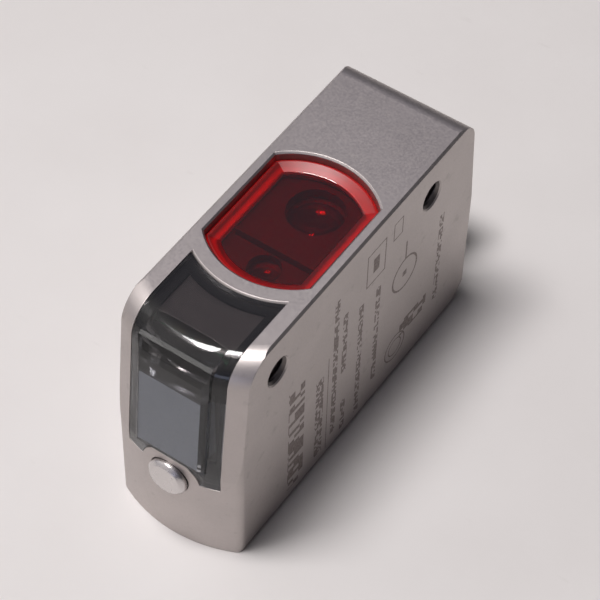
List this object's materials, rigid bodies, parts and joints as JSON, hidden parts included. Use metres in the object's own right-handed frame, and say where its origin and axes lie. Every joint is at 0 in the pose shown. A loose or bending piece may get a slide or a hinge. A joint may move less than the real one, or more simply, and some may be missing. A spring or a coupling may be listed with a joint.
{
  "type": "photoelectric sensor",
  "caption": "Small stainless laser photoelectric sensor with red lens window, smoked display cover, SET button and round threaded plug.",
  "frame": {"origin": "centre of the bounding box on the back plate's plane", "axes": "+Z is the sensing direction out of the optical face, -Y the display and SET button end, +Y the plug end, X across the two side faces"},
  "size_m": [0.014, 0.048, 0.027],
  "materials": {
    "steel_body": "satin, fine bead-blasted",
    "steel_plate": "satin brushed",
    "steel_button": "polished dome",
    "steel_small": "plain",
    "nickel": "nickel plated, satin",
    "window_red": "clear deep red, polished",
    "cover_smoke": "smoked clear, polished",
    "rubber_black": "matte",
    "seal_pale": "milky silicone",
    "diffuser_grey": "milky, satin",
    "guide_clear": "clear",
    "plastic_black": "moulded, matte",
    "plastic_cream": "moulded",
    "led_amber": "clear lens",
    "board_green": "solder mask over glass fibre",
    "glass_clear": "polished",
    "glass_red": "coated, polished",
    "brass_gold": "gold plated",
    "tin_plate": "tin plated, dull",
    "film_amber": "polyimide film",
    "wire_cover": "extruded"
  },
  "bodies": {
    "sensor": {"housing": "steel_body", "back_plate": "steel_plate", "lens_window": "window_red", "window_gasket": "seal_pale", "indicator_cover": "cover_smoke", "cover_gasket": "rubber_black", "display_diffuser": "diffuser_grey", "display_module": "plastic_black", "light_guide": "guide_clear", "indicator_leds": "led_amber", "front_board": "board_green", "switch_body": "plastic_black", "button_spring": "steel_small", "optic_frame": "plastic_black", "emitter_lens": "glass_clear", "receiver_lens": "glass_clear", "laser_diode": "brass_gold", "image_sensor": "plastic_black", "band_filter": "glass_red", "light_baffle": "plastic_black", "sensor_board": "board_green", "optic_screws": "steel_small", "sensor_screws": "steel_small", "main_board": "board_green", "processor_chip": "plastic_black", "power_parts": "plastic_black", "shield_can": "tin_plate", "board_link": "plastic_cream", "flex_strip": "film_amber", "board_screws": "steel_small", "connector_shell": "nickel", "connector_insert": "plastic_black", "contact_pins": "brass_gold", "connector_oring": "rubber_black", "lead_wires": "wire_cover"},
    "button": {"set_button": "steel_button", "button_oring": "rubber_black", "button_clip": "steel_small", "switch_plunger": "plastic_cream"}
  },
  "joints": [
    {"name": "set_button_press", "type": "slide", "parent": "sensor", "child": "button", "axis": [0, 1, 0], "range_m": [0, 0.00035], "stiffness_N_per_m": 2000, "springref_m": -0.0003, "deforming": ["button_spring"]}
  ]
}
